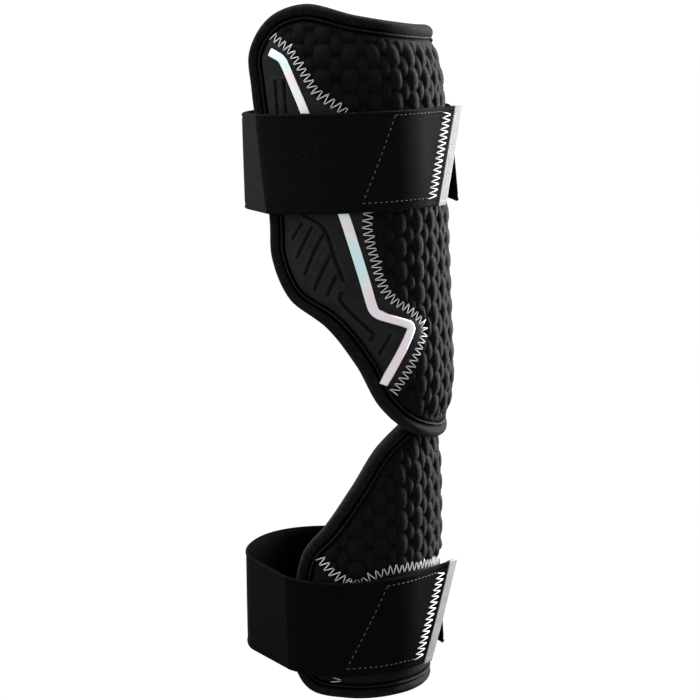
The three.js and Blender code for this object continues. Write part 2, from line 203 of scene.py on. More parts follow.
# Tones kept in a third pattern value, which paint shade and highlight: full on the bead as a painted
# highlight and on the elastic, less elsewhere, paler on the tape's rubbed cut edge as wear and painted
# highlight, a share on a strap's inner side as painted shade, and rising from nought over a stretch of a
# strap's end
FULL_TONE = 1 * MM
PLAIN_TONE = 0.65 * MM
RUBBED_AND_HIGHLIT_TONE = 0.85 * MM
INNER_SHARE = 0.2
END_TONE_FROM = 1.5 * MM
END_TONE_TO = 6 * MM

# Rounding of woven edges, the ridge and furrow beside a strap's edges, and the gloss of each strap
EDGE_ROUND = 0.8 * MM
SELVAGE = table("height place width", (0.25, 0.9, 0.6), (-0.4, 2.1, 0.45))
UPPER_GLOSS = 0.0015
LOWER_GLOSS = 0.0006

# Arch of a stitch in thread radii: rise of its middle, dip of its ends, and radius left at its ends
STITCH_RISE = 1.6
STITCH_DIP = 0.9
STITCH_END = 0.45

# Seam stitches lie this deep in the cover; tape stitches lie on the bead, this far from its edge and up; box
# stitches have this share of the thread's colour, a painted shade on the same white thread
SEAM_SINK = 0.25 * MM
BEAD_MIDDLE = 0.75 * MM
BEAD_TOP = 0.45 * MM
END_THREAD_PAINTED_SHADE = 0.18

# Steps of the grids: columns and rows of the covers, then those of stripes, tapes, linings, straps and
# pull tabs
UPPER_QUILT_STEPS = (252, 336)
WING_STEPS = (84, 420)
LOWER_COLUMNS = 216
LOWER_QUILT_ROWS = 180
CUFF_ROWS = 72
ACCENT_STEPS = (360, 12)
TAPE_STEPS = 1200
LINING_STEPS = 144
STRAP_COLUMNS = 48
TAB_STEPS = (24, 96)

# Fine steps of a front to one coarse step of its back, and points of a line to one that is measured from
COVER_STEP = 12
PLAIN_STEP = 4
SEAM_STEP = 6
RIM_STEP = 4

# Points of a curve between two of its given points, of a pressed line likewise, and of a round corner
CURVE_SAMPLES = 40
LINE_SAMPLES = 8
BEND_SAMPLES = 12

# Stage: half side of the floor, places and size of the strip lights in metres, and the camera's sensor
FLOOR_HALF = 20.0
STRIPS = {
    "front_strip": (1.03, -0.62, 0.15),
    "back_strip": (0.62, 1.02, 0.25),
    "left_strip": (-0.35, 1.0, 0.75),
    "top_strip": (0.0, 0.35, 1.4),
}
STRIP_WIDTH = 0.4
STRIP_LENGTH = 1.4
SENSOR_WIDTH = 36


# Lines and pads


def ramp(value, low, high):
    """Smooth step: nought at low, one at high, and a cubic with level ends between them."""
    part = np.clip((value - low) / (high - low), 0, 1)
    return part * part * (3 - 2 * part)


def bell(away, width):
    """Bell curve: one at nought, falling by the exponential of the squared distance over the width."""
    return np.exp(-((away / width) ** 2))


def mix(low, high, share):
    return low + (high - low) * share


def rounding(from_edge):
    """Share of the full thickness near a rounded edge, a quarter circle of the distance from it."""
    return np.sqrt(1 - np.clip(1 - from_edge / EDGE_ROUND, 0, 1) ** 2)


def to_right(flat):
    """The matching pattern point of the right half, whose lobe stands lower than the left one."""
    drop = LOBE_DROP * ramp(flat[..., 0], 0, LOBE_START) * ramp(flat[..., 1], LOBE_FOOT, LOBE_TOP)
    return np.stack([-flat[..., 0], flat[..., 1] - drop], -1)


def smooth_line(points, closed=False, samples=CURVE_SAMPLES):
    """Curve through pattern points, a cubic between each two neighbours.

    The slope at a point weighs the chords beside it by the square roots of their lengths, which keeps
    the curve close to its points.
    """
    if closed:
        padded = np.vstack([points[-1:], points, points[:2]])
    else:
        padded = np.vstack([2 * points[:1] - points[1:2], points, 2 * points[-1:] - points[-2:-1]])
    before, start, end, after = padded[:-3], padded[1:-2], padded[2:-1], padded[3:]
    first, middle, last = (
        np.sqrt(np.linalg.norm(b - a, axis=1, keepdims=True))
        for a, b in ((before, start), (start, end), (end, after))
    )
    leave = (start - before) / first - (end - before) / (first + middle) + (end - start) / middle
    arrive = (end - start) / middle - (after - start) / (middle + last) + (after - end) / last
    t = np.linspace(0, 1, samples, endpoint=False)[None, :, None]
    line = (
        (2 * t**3 - 3 * t**2 + 1) * start[:, None]
        + (t**3 - 2 * t**2 + t) * (leave * middle)[:, None]
        + (3 * t**2 - 2 * t**3) * end[:, None]
        + (t**3 - t**2) * (arrive * middle)[:, None]
    ).reshape(-1, points.shape[1])
    return line if closed else np.vstack([line, points[-1:]])


def lengths_of(line):
    """Length along a line at each of its points."""
    return np.concatenate([[0], np.cumsum(np.linalg.norm(np.diff(line, axis=0), axis=1))])


def at_lengths(line, lengths):
    """Points of a line at given lengths along it."""
    known = lengths_of(line)
    return np.stack([np.interp(lengths, known, column) for column in line.T], -1)


def resample(line, count):
    return at_lengths(line, np.linspace(0, lengths_of(line)[-1], count))


def left_of(along):
    """Unit direction to the left of each given direction."""
    along = along / np.linalg.norm(along, axis=1, keepdims=True)
    return np.stack([-along[:, 1], along[:, 0]], -1)


def sideways(line):
    """Unit direction to the left of a line at each of its points."""
    return left_of(np.gradient(line, axis=0))


def outward(ring):
    """Unit direction out of a pad's closed ring at each of its points."""
    return left_of(np.roll(ring, -1, axis=0) - np.roll(ring, 1, axis=0))


def joined(ring):
    """A ring whose first point comes again at its end."""
    return np.vstack([ring, ring[:1]])


def distance_to(flat, *lines):
    """Shortest distance from each pattern point to any of the lines, the least over their pieces."""
    best = np.full(flat.shape[:-1], np.inf)
    for line in lines:
        line = line[np.append(True, np.diff(line, axis=0).any(axis=1))]
        for start, end in zip(line[:-1], line[1:]):
            along = end - start
            offset = flat - start
            part = np.clip((offset @ along) / (along @ along), 0, 1)
            best = np.minimum(best, np.linalg.norm(offset - part[..., None] * along, axis=-1))
    return best


def across_top(ring, top, steps):
    """Stretch of a pad's ring from its left point of a given number over the top to the right one."""
    return resample(np.vstack([ring[top::-1], ring[: -top - 1 : -1]]), steps + 1)


def across_bottom(ring, bottom, steps):
    """Stretch of a pad's ring from its left point of a given number along the bottom to the right one."""
    return resample(ring[bottom : len(ring) - bottom + 1], steps + 1)


def down_left(ring, first, last, steps):
    return resample(ring[first : last + 1], steps + 1)


def down_right(ring, first, last, steps):
    return resample(ring[-first : -last - 1 : -1], steps + 1)


def fill(top, bottom, left, right):
    """Grid of points between four side lines, rows from top to bottom.

    A point adds the straight blend of top and bottom to that of left and right, and takes away the
    blend of the four corners.
    """
    s = np.linspace(0, 1, len(top))[None, :, None]
    t = np.linspace(0, 1, len(left))[:, None, None]
    down = mix(top[None], bottom[None], t)
    across = mix(left[:, None], right[:, None], s)
    corners = mix(mix(top[0], top[-1], s), mix(bottom[0], bottom[-1], s), t)
    return down + across - corners


class Pad:
    """A padded half of the guard: a flat pattern wrapped on the arm's oval, with a sloping thickness."""

    def __init__(self, form, outline, edge_thick, rise, corners, edge_steps=480, last_degree=170):
        self.form = form
        self.edge_thick = edge_thick * MM
        self.rise = rise * MM
        self.corners = np.array(corners) * MM
        self.fits = [np.polyfit(form["up"], form[name], 2) for name in ("half_width", "front", "back")]
        self.angles = np.radians(np.arange(last_degree + 1))
        middle = form[1]
        reach = np.where(np.cos(self.angles) >= 0, middle["front"], middle["back"])
        oval = np.stack([middle["half_width"] * np.sin(self.angles), reach * np.cos(self.angles)], -1)
        self.girth = lengths_of(oval)
        left = points_of(outline)
        whole = smooth_line(np.vstack([left, left[-2:0:-1] * (-1, 1)]), closed=True)
        half = resample(whole[: (len(left) - 1) * CURVE_SAMPLES + 1], edge_steps // 2 + 1)
        self.edge = np.vstack([half, to_right(half)[-2:0:-1]])

    def sizes(self, up):
        """Half width, front reach and back reach at a height, parabolas through the form's rows."""
        level = np.clip(up, self.form["up"][0], self.form["up"][-1])
        return [np.polyval(fit, level) for fit in self.fits]

    def place(self, flat, out):
        """Wraps pattern points on the oval and lifts them off the arm side along the oval's normal.

        The oval's girth turns the distance round the arm into an angle from the front line.
        """
        span, up = flat[..., 0], flat[..., 1]
        angle = np.sign(span) * np.interp(np.abs(span), self.girth, self.angles)
        wide, front, back = self.sizes(up)
        reach = np.where(np.cos(angle) >= 0, front, back)
        normal = np.stack([-np.sin(angle) / wide, -np.cos(angle) / reach], -1)
        normal /= np.linalg.norm(normal, axis=-1, keepdims=True)
        x = -wide * np.sin(angle) + out * normal[..., 0]
        y = -reach * np.cos(angle) + out * normal[..., 1]
        return np.stack([x, y, up + 0 * x], -1)

    def depth(self, flat):
        """Distance from the cut edge."""
        return distance_to(flat, joined(self.edge))

    def thickness(self, flat):
        """Thickness at the hem plus a rise that levels off as a parabola over the slope's width."""
        run = np.clip((self.depth(flat) - HEM) / SLOPE, 0, 1)
        return self.edge_thick + self.rise * (1 - (1 - run) ** 2)

    def inset(self, by):
        """The cut edge moved inwards."""
        return self.edge - by * outward(self.edge)

    def nearest(self, ring, spot):
        """Number of the ring point on the left half that lies nearest to a pattern point."""
        half = ring[: len(ring) // 2 + 1]
        return int(np.argmin(np.linalg.norm(half - spot, axis=1)))

    def inside(self, seam, by):
        """The stretch of a seam that lies further in from the cut edge than a hem."""
        depth = self.depth(seam)
        half = len(seam) // 2
        first = int(np.argmin(depth[:half]))
        last = half + int(np.argmin(depth[half:]))
        keep = np.arange(first, last + 1)
        return seam[keep[depth[keep] >= by]]


UPPER = Pad(UPPER_FORM, UPPER_OUTLINE, edge_thick=5, rise=4.4, corners=((86, 181), (36, 13)))
LOWER = Pad(LOWER_FORM, LOWER_OUTLINE, edge_thick=5, rise=3, corners=((33, 2), (70, -104)))


class Strap:
    """A band round the arm whose ends leave the pad straight and are cut at a slant.

    Each pair of spread, squareness, fold and tails is for the band's lower edge and for its upper edge.
    The climb is the band's slope before and behind the arm's axis. The fold's angles and the angles
    where the ends leave are in degrees from the front line.
    """

    look_back = np.radians(0.5)

    def __init__(self, pad, size, spread, square, climb, fold, left_tail, right_tail, leave, samples=400):
        self.pad = pad
        self.size = size[0]
        self.spread = np.array(spread) * MM
        self.square = square
        self.climb_front, self.climb_back = climb
        self.fold = np.radians(fold)
        self.left_tail = np.array(left_tail) * MM
        self.right_tail = np.array(right_tail) * MM
        self.leave_left, self.leave_right = np.radians((leave[0], 360 + leave[1]))
        self.turns = np.linspace(self.leave_left, self.leave_right, samples)
        self.reach = lengths_of(self.plan(self.turns, 0.5 + 0 * self.turns, 0))

    def plan(self, angle, share, out):
        """The round plan with a flat stretch between the fold's two angles, which slant with the share."""
        first, last = (mix(low, high, share) for low, high in self.fold.T)
        part = np.clip((angle - first) / (last - first), 0, 1)[..., None]
        flat = mix(self.round_plan(first, share, out), self.round_plan(last, share, out), part)
        return np.where((part > 0) & (part < 1), flat, self.round_plan(angle, share, out))

    def level(self, share):
        return self.size["centre"] + (share - 0.5) * self.size["width"]

    def round_plan(self, angle, share, out):
        """Seen from above: a half oval at the front and a half of a squarer oval at the back.

        The squarer oval raises sine and cosine to the power of two over its squareness.
        """
        wide, front, _ = self.pad.sizes(self.level(share))
        grow = self.size["stand_off"] + out
        wide = wide + grow + mix(*self.spread, share)
        sine, cosine = np.sin(angle), np.cos(angle)
        power = np.where(cosine >= 0, 1, 2 / mix(*self.square, share))
        reach = np.where(cosine >= 0, front + grow, self.size["back"] + out)
        x = -wide * np.sign(sine) * np.abs(sine) ** power
        y = -reach * np.sign(cosine) * np.abs(cosine) ** power
        return np.stack([x, y], -1)

    def place(self, angle, tail, share, out):
        """Place on the band; a tail runs on straight from the angle where it leaves the pad."""
        spot = self.plan(angle, share, out)
        step = np.where(tail < 0, -self.look_back, self.look_back)
        along = spot - self.plan(angle + step, share, out)
        along /= np.linalg.norm(along, axis=-1, keepdims=True)
        spot = spot + np.abs(tail)[..., None] * along
        climb = np.where(spot[..., 1] < 0, self.climb_front, self.climb_back)
        return np.stack([spot[..., 0], spot[..., 1], self.level(share) + climb * spot[..., 1]], -1)

    def near_end(self, flat, out):
        """Place by the distance back from the slanted left end and the share of the width."""
        back, share = flat[..., 0], flat[..., 1]
        tail = mix(*self.left_tail, share) - back
        angle = np.interp(np.maximum(-tail, 0), self.reach, self.turns)
        return self.place(angle, np.maximum(tail, 0), share, out)

    def stations(self, tail_steps=28, wrap_steps=320):
        """Angle and share of the tail at each station from the left end to the right end."""
        left = np.linspace(1, 0, tail_steps, endpoint=False)
        right = -left[::-1]
        wrap = np.linspace(self.leave_left, self.leave_right, wrap_steps + 1)
        angle = np.concatenate([0 * left + self.leave_left, wrap, 0 * right + self.leave_right])
        return angle, np.concatenate([left, 0 * wrap, right])


STRAP_SIZE = "centre width thick stand_off back tab"
UPPER_STRAP = Strap(
    UPPER,
    table(STRAP_SIZE, (122, 42, 1.6, 10.9, 39.2, 7)),
    spread=(0, 0),
    square=(2.45, 2.85),
    climb=(-0.03, -0.03),
    fold=((116, 160), (122, 160)),
    left_tail=(7.4, 23.5),
    right_tail=(18.5, 5),
    leave=(25, -25),
)
LOWER_STRAP = Strap(
    LOWER,
    table(STRAP_SIZE, (-78.2, 43, 1.6, 8.4, 41.8, 7)),
    spread=(0, 2.5),
    square=(2, 2),
    climb=(0, 0.1),
    fold=((108, 148), (108, 148)),
    left_tail=(3, 23),
    right_tail=(13.5, 1),
    leave=(25, -38),
)


# Meshes


def numbers(rows, columns, first=0):
    """Point numbers of a grid, row by row."""
    return first + np.arange(rows * columns).reshape(rows, columns)


def quads(number):
    """Corners of the quads of a grid of point numbers."""
    corners = (number[:-1, :-1], number[1:, :-1], number[1:, 1:], number[:-1, 1:])
    return np.stack(corners, -1).reshape(-1, 4)


def rim_of(number):
    """Point numbers round a grid: down its first column, along its last row, up and back."""
    return np.concatenate([number[:-1, 0], number[-1, :-1], number[:0:-1, -1], number[0, :0:-1]])


def build(name, points, blocks, pattern):
    """Object with smooth faces from points, blocks of faces and the pattern place of each point."""
    mesh = bpy.data.meshes.new(name)
    corners = np.concatenate([block.ravel() for block in blocks])
    counts = np.concatenate([np.full(len(block), block.shape[1]) for block in blocks])
    mesh.vertices.add(len(points))
    mesh.vertices.foreach_set("co", points.ravel())
    mesh.loops.add(len(corners))
    mesh.loops.foreach_set("vertex_index", corners)
    mesh.polygons.add(len(counts))
    mesh.polygons.foreach_set("loop_start", np.cumsum(counts) - counts)
    mesh.update(calc_edges=True)
    mesh.shade_smooth()
    held = mesh.attributes.new("pattern", "FLOAT_VECTOR", "POINT")
    spare = np.zeros((len(pattern), 3 - pattern.shape[1]))
    held.data.foreach_set("vector", np.column_stack([pattern, spare]).ravel())
    piece = bpy.data.objects.new(name, mesh)
    bpy.context.scene.collection.objects.link(piece)
    return piece


def build_sheet(name, front, back, step, pattern, back_pattern=None):
    """Closed sheet: a fine front face, a coarse back face and a wall between their rims.

    The back has one point for each step points of the front, so a wall face has step + 3 corners.
    """
    if back_pattern is None:
        back_pattern = pattern[::step, ::step]
    front_numbers = numbers(*front.shape[:2])
    back_numbers = numbers(*back.shape[:2], first=front_numbers.size)
    front_rim, back_rim = rim_of(front_numbers), rim_of(back_numbers)
    fine = (np.arange(len(back_rim))[:, None] + 1) * step - np.arange(step + 1)
    walls = np.column_stack([front_rim[fine % len(front_rim)], back_rim, np.roll(back_rim, -1)])
    blocks = [quads(front_numbers), quads(back_numbers)[:, ::-1], walls]
    points, places = (
        np.concatenate([part.reshape(-1, part.shape[-1]) for part in parts])
        for parts in ((front, back), (pattern, back_pattern))
    )
    return build(name, points, blocks, places)


def build_ring(name, rings, pattern):
    """Closed tube: a closed profile carried round a closed path, given as path by profile points."""
    number = np.pad(numbers(*rings.shape[:2]), ((0, 1), (0, 1)), mode="wrap")
    return build(name, rings.reshape(-1, 3), [quads(number)], pattern.reshape(-1, pattern.shape[-1]))


def build_stitches(name, starts, ends, carrier, thread, sides=8, samples=7):
    """One thread for each stitch: a round profile carried along an arch from start to end.

    The arch dips under the cloth at both ends and the thread thins there: lift and thickness follow
    a half sine with a flattened top. The carrier places a pattern point at a lift over the cloth, and
    the thread's radius is given.
    """
    t = np.linspace(0, 1, samples)
    arch = np.sqrt(np.maximum(np.sin(np.pi * t), 0))
    flat = mix(starts[:, None], ends[:, None], t[None, :, None])
    lift = np.broadcast_to(thread * (STITCH_RISE * arch - STITCH_DIP), flat.shape[:2])
    middle = carrier(flat, lift)
    over = carrier(flat, lift + thread) - middle
    over /= np.linalg.norm(over, axis=-1, keepdims=True)
    along = np.gradient(middle, axis=1)
    beside = np.cross(over, along)
    beside /= np.linalg.norm(beside, axis=-1, keepdims=True)
    turn = np.linspace(0, 2 * np.pi, sides, endpoint=False)
    radius = (thread * mix(STITCH_END, 1, arch))[None, :, None, None]
    ring = np.cos(turn)[:, None] * over[:, :, None] + np.sin(turn)[:, None] * beside[:, :, None]
    points = middle[:, :, None] + radius * ring
    number = numbers(samples, sides)
    caps = np.stack([number[0, ::-1], number[-1]])
    skin = quads(np.column_stack([number, number[:, :1]]).T)
    shift = (np.arange(len(starts)) * number.size)[:, None, None]
    blocks = [(block[None] + shift).reshape(-1, block.shape[1]) for block in (skin, caps)]
    lengthways = np.linalg.norm(ends - starts, axis=1)[:, None, None] * t[None, :, None]
    pattern = np.stack(np.broadcast_arrays(lengthways, thread * turn[None, None]), -1)
    return build(name, points.reshape(-1, 3), blocks, pattern.reshape(-1, 2))


def hand_in(piece, material, slot, *nodes):
    """Gives a finished piece its material and its body, and hides the nodes that it stands for; the slot is
    not used.
    """
    piece.data.materials.append(material)
    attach(piece, "root")
    if nodes:
        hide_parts(*nodes)
    return piece


# Finishes


class Finish:
    """A material whose relief and tint are built up on a piece's own pattern coordinates.

    Sizes, depths and kept heights are in millimetres.
    """

    def __init__(self, name, colour, roughness, gloss):
        self.colour = colour
        self.material = bpy.data.materials.new(name)
        self.material.use_nodes = True
        self.tree = self.material.node_tree
        self.shader = self.tree.nodes["Principled BSDF"]
        self.shader.inputs["Base Color"].default_value = (*colour, 1)
        self.shader.inputs["Roughness"].default_value = roughness
        self.shader.inputs["Specular IOR Level"].default_value = gloss
        self.where = self.add("Attribute", {}, attribute_name="pattern").outputs["Vector"]

    def add(self, kind, inputs, **settings):
        """A new node with its settings made and its inputs set or linked."""
        node = self.tree.nodes.new("ShaderNode" + kind)
        for setting, value in settings.items():
            setattr(node, setting, value)
        for socket, value in inputs.items():
            if isinstance(value, bpy.types.NodeSocket):
                self.tree.links.new(value, node.inputs[socket])
            else:
                node.inputs[socket].default_value = value
        return node

    def ribs(self, pitch, direction, waver=0.0):
        """Even ribs a pitch apart; the wave texture has one rib every tenth of pi at a scale of one."""
        scale = np.pi / 10 / (pitch * MM)
        inputs = {"Vector": self.where, "Scale": scale, "Distortion": waver, "Detail Scale": 3.0}
        return self.add("TexWave", inputs, bands_direction=direction).outputs["Fac"]

    def grain(self, size, detail=2.0, run=None):
        """Uneven grain about a given size across, drawn out to upright streaks if a run is given."""
        where = self.where
        if run:
            where = self.add("Mapping", {"Vector": where, "Scale": (1, size / run, 1)}).outputs["Vector"]
        inputs = {"Vector": where, "Scale": 1 / (size * MM), "Detail": detail, "Roughness": 0.6}
        return self.add("TexNoise", inputs).outputs["Fac"]

    def height(self, low, high):
        """Relief or tone kept in the third pattern value, as a share between two values."""
        kept = self.add("SeparateXYZ", {"Vector": self.where}).outputs["Z"]
        inputs = {"Value": kept, "From Min": low * MM, "From Max": high * MM}
        return self.add("MapRange", inputs).outputs["Result"]

    def sum_of(self, total, *parts):
        """A value plus shares of other ones, which are given as pairs of value and share."""
        for value, share in parts:
            inputs = {0: value, 1: share, 2: total}
            total = self.add("Math", inputs, operation="MULTIPLY_ADD").outputs[0]
        return total

    def emboss(self, relief, depth):
        """Lets a relief of nought to one raise the surface by a depth."""
        bump = self.add("Bump", {"Height": relief, "Distance": depth * MM, "Strength": 1.0})
        self.tree.links.new(bump.outputs["Normal"], self.shader.inputs["Normal"])

    def tint(self, factor, *colours, low=0.3, high=0.7):
        """Lets a factor pick a base colour from ones evenly spaced between a low and a high factor."""
        node = self.add("ValToRGB", {"Fac": factor})
        stops = node.color_ramp.elements
        while len(stops) < len(colours):
            stops.new(0.5)
        for number, colour in enumerate(colours):
            stops[number].position = mix(low, high, number / (len(colours) - 1))
            stops[number].color = (*colour, 1)
        self.tree.links.new(node.outputs["Color"], self.shader.inputs["Base Color"])

    def shade(self, factor, *shares):
        """Lets a factor pick a base colour from shares of the finish's own colour."""
        self.tint(factor, *(shaded(self.colour, share) for share in shares))


def shaded(colour, share):
    return tuple(channel * share for channel in colour)


def quilt_finish(colour):
    """Stretch knit: fine wales and courses with upright pulls and grain, painted shade in its creases, and
    cells' crowns paler from wear and painted highlight.
    """
    cloth = Finish("quilted_cloth", colour, roughness=0.8, gloss=0.004)
    wales = cloth.ribs(0.55, "X", waver=1.5)
    courses = cloth.ribs(0.5, "Y", waver=1.5)
    pulls = cloth.grain(1.3, run=6)
    cloth.emboss(cloth.sum_of(wales, (courses, 0.7), (pulls, 6.0), (cloth.grain(0.8), 3.0)), 0.1)
    # Painted shade and highlight: the kept relief darkens the base colour in the creases and pales it on the
    # crowns
    cloth.shade(cloth.sum_of(cloth.height(-1.15, 1.1), (pulls, 0.3)), 0.45, 0.9, 1.25)
    return cloth.material


def side_finish(name, colour):
    """Smooth pressed cloth with a very fine grain, painted shade in its pressed lines and sewn valleys, and
    a painted highlight on their lips.
    """
    cloth = Finish(name, colour, roughness=0.62, gloss=0.004)
    cloth.emboss(cloth.grain(0.55), 0.06)
    # Painted shade and highlight from the kept relief, darker in the grooves and paler on the lips, plus
    # uneven patches of grain
    grain_and_painted_light = cloth.sum_of(cloth.height(-1.3, 1.95), (cloth.grain(5, detail=4.0), 0.3))
    cloth.shade(grain_and_painted_light, 0.45, 1.2, 2.1)
    return cloth.material


def binding_finish(colour):
    """Edge tape with fine ribs across its length, with painted shade that makes its crease black, a painted
    highlight on its bead, and rubbed wear with a painted highlight on its cut edge.
    """
    tape = Finish("binding_tape", colour, roughness=0.75, gloss=0.0015)
    tape.emboss(tape.sum_of(tape.ribs(0.7, "X", waver=0.4), (tape.grain(0.5), 0.5)), 0.2)
    # Painted shade and highlight: the kept tone makes the crease black, the bead pale and the rubbed cut
    # edge paler
    tape.shade(tape.sum_of(tape.height(-0.4, 2.1), (tape.grain(1.2), 0.2)), 0.06, 1.0, 4.0)
    return tape.material


def strap_finish(colour, gloss):
    """Woven elastic: ribs along its length, crossed by finer weft, painted shade on its inner side, and
    darker at its end.
    """
    elastic = Finish("strap_elastic", colour, roughness=0.75, gloss=gloss)
    warp = elastic.ribs(0.6, "Y", waver=0.5)
    weft = elastic.ribs(0.5, "X", waver=1.0)
    elastic.emboss(elastic.sum_of(warp, (weft, 0.8), (elastic.grain(0.8), 2.5)), 0.07)
    # Painted shade: the kept tone darkens the inner side; it also darkens the slanted end, and grain adds
    # uneven tone
    grain_and_painted_light = elastic.sum_of(elastic.height(0, 2.9), (elastic.grain(0.9, detail=3.0), 0.5))
    elastic.shade(grain_and_painted_light, 0.12, 0.6, 1.6)
    return elastic.material


def lining_finish(colour):
    """Soft mesh lining: round dimples in staggered rows."""
    mesh = Finish("pad_lining", colour, roughness=0.85, gloss=0.02)
    inputs = {"Vector": mesh.where, "Scale": 1 / (2.4 * MM), "Randomness": 0.15}
    dimples = mesh.add("TexVoronoi", inputs).outputs["Distance"]
    mesh.emboss(mesh.sum_of(dimples, (mesh.grain(0.8), 0.3)), 0.35)
    mesh.shade(mesh.grain(15), 0.8, 1.3)
    return mesh.material


def tab_finish(colour):
    """Plain light woven tape."""
    tape = Finish("tab_tape", colour, roughness=0.7, gloss=0.02)
    tape.emboss(tape.sum_of(tape.ribs(0.8, "X"), (tape.ribs(0.8, "Y"), 1.0)), 0.08)
    tape.shade(tape.grain(4), 0.93, 1.05)
    return tape.material


def accent_finish(silver, pink, teal):
    """Reflective film whose silver and whose tint, drifting between pale pink, teal and silver along the
    stripe, are painted reflection in the base colour.
    """
    film = Finish("accent_film", silver, roughness=0.4, gloss=0.03)
    # Painted reflection: fixed tints along the stripe stand in for the film's iridescent reflection
    film.tint(film.grain(22, detail=0.0), teal, silver, pink, silver, teal)
    film.emboss(film.grain(1.5), 0.01)
    return film.material


def thread_finish(name, colour):
    """Twisted sewing thread: slanting ribs along its length."""
    thread = Finish(name, colour, roughness=0.6, gloss=0.02)
    thread.emboss(thread.ribs(0.5, "DIAGONAL"), 0.05)
    thread.shade(thread.grain(2), 0.9, 1.0)
    return thread.material


def floor_finish(colour):
    """Pale matte paper with a faint grain."""
    paper = Finish("floor_paper", colour, roughness=0.9, gloss=0.1)
    paper.emboss(paper.grain(2), 0.02)
    return paper.material


# Settings


def length(name, description, millimetres):
    default = millimetres * MM
    return FloatProperty(name=name, description=description, default=default, unit="LENGTH", precision=5)


def paint(name, description, *default):
    limits = {"size": 3, "min": 0, "max": 1, "precision": 4}
    return FloatVectorProperty(
        name=name, description=description, default=default, subtype="COLOR", **limits
    )


def watts(name, description, default):
    return FloatProperty(name=name, description=description, default=default, min=0, unit="POWER")


def degrees(name, description, value):
    default = np.radians(value)
    return FloatProperty(name=name, description=description, default=default, subtype="ANGLE")


class ELBOWGUARD_PG_quilt(bpy.types.PropertyGroup):
    """Sizes of the quilting and of the pressed lines"""

    column: length("Column", "Distance between two columns of tall cells", 9.3)
    pitch: length("Pitch", "Distance between two tall cells of a column", 10.1)
    proud: length("Proud", "Height of a tall cell over the padding", 0.95)
    low: length("Low cell", "Height of a low cell over the padding", 0.4)
    border: length("Border", "Depth of a cell's border under the padding", 0.55)
    crease: length("Crease", "Depth of the creases under the padding", 0.75)
    groove: length("Groove", "Depth of the wings' pressed lines", 0.85)
    groove_width: length("Groove width", "Half width of a pressed line", 0.55)


class ELBOWGUARD_PG_thread(bpy.types.PropertyGroup):
    """Sizes of the stitching"""

    radius: length("Radius", "Radius of the sewing thread", 0.21)
    zigzag: length("Zigzag width", "Width of a seam's zigzag", 5)
    zigzag_step: length("Zigzag step", "Length of seam that one zigzag stitch takes", 1.38)
    end_zigzag: length("End zigzag width", "Width of the zigzag at a strap's end", 7.2)
    end_step: length("End zigzag step", "Length of strap end that one zigzag stitch takes", 1.17)
    fine: length("Fine radius", "Radius of the straight stitches' thread", 0.18)
    dash: length("Dash", "Length of a straight stitch", 1.45)
    dash_gap: length("Dash gap", "Gap between two straight stitches", 1.05)


class ELBOWGUARD_PG_colours(bpy.types.PropertyGroup):
    """Base colours"""

    quilt: paint("Quilted cloth", "Colour of the quilted covers", 0.0034, 0.0034, 0.0035)
    side: paint("Side cloth", "Colour of the wings' plain covers", 0.0078, 0.0078, 0.0079)
    cuff: paint("Cuff cloth", "Colour of the forearm pad's cuff", 0.0034, 0.0034, 0.0035)
    binding: paint("Binding", "Colour of the edge tape", 0.0042, 0.0042, 0.0043)
    strap: paint("Strap", "Colour of the upper strap's elastic", 0.003, 0.003, 0.0031)
    # The forearm strap is the same elastic as the upper one; its darker colour is painted shade
    lower_strap: paint("Forearm strap", "Colour of the forearm strap's elastic", 0.0023, 0.0023, 0.0024)
    lining: paint("Lining", "Colour of the pads' arm side", 0.003, 0.003, 0.0031)
    tab: paint("Tab", "Colour of the pull tabs", 0.12, 0.12, 0.123)
    thread: paint("Thread", "Colour of the sewing thread", 0.5, 0.5, 0.49)
    # The stripes' silver and tints are painted reflection of the film
    accent: paint("Accent", "Silver of the stripes", 0.6, 0.6, 0.61)
    accent_warm: paint("Accent warm", "Warm tint of the stripes", 0.63, 0.53, 0.6)
    accent_cool: paint("Accent cool", "Cool tint of the stripes", 0.47, 0.62, 0.64)


class ELBOWGUARD_PG_stage(bpy.types.PropertyGroup):
    """Floor, lights and camera"""

    floor_colour: paint("Floor", "Colour of the floor", 0.92, 0.92, 0.92)
    floor_gap: length("Floor gap", "Distance of the floor under the guard", 150)
    room: FloatProperty(name="Room light", description="Strength of the even light", default=1.12, min=0)
    front_strip: watts("Front strip", "Power of the strip light before the guard", 390)
    back_strip: watts("Back strip", "Power of the strip light behind the guard", 72)
    left_strip: watts("Left strip", "Power of the strip light on the camera's left", 12)
    top_strip: watts("Top strip", "Power of the strip light over the guard", 60)
    target: FloatVectorProperty(
        name="Target",
        description="Point that the camera looks at",
        default=(0.00053, -0.00213, 0.036),
        size=3,
        subtype="TRANSLATION",
        unit="LENGTH",
    )
    distance: length("Distance", "Distance of the camera from its target", 1070)
    turn: degrees("Turn", "Camera's turn from the left side to the front", 14)
    tilt: degrees("Tilt", "Camera's height as an angle", 8.25)
    lens: FloatProperty(name="Lens", description="Focal length", default=124.15, subtype="DISTANCE_CAMERA")


class ELBOWGUARD_PG_settings(bpy.types.PropertyGroup):
    """All settings of the elbow guard"""

    quilt: PointerProperty(type=ELBOWGUARD_PG_quilt)
    thread: PointerProperty(type=ELBOWGUARD_PG_thread)
    colours: PointerProperty(type=ELBOWGUARD_PG_colours)
    stage: PointerProperty(type=ELBOWGUARD_PG_stage)


# Covers


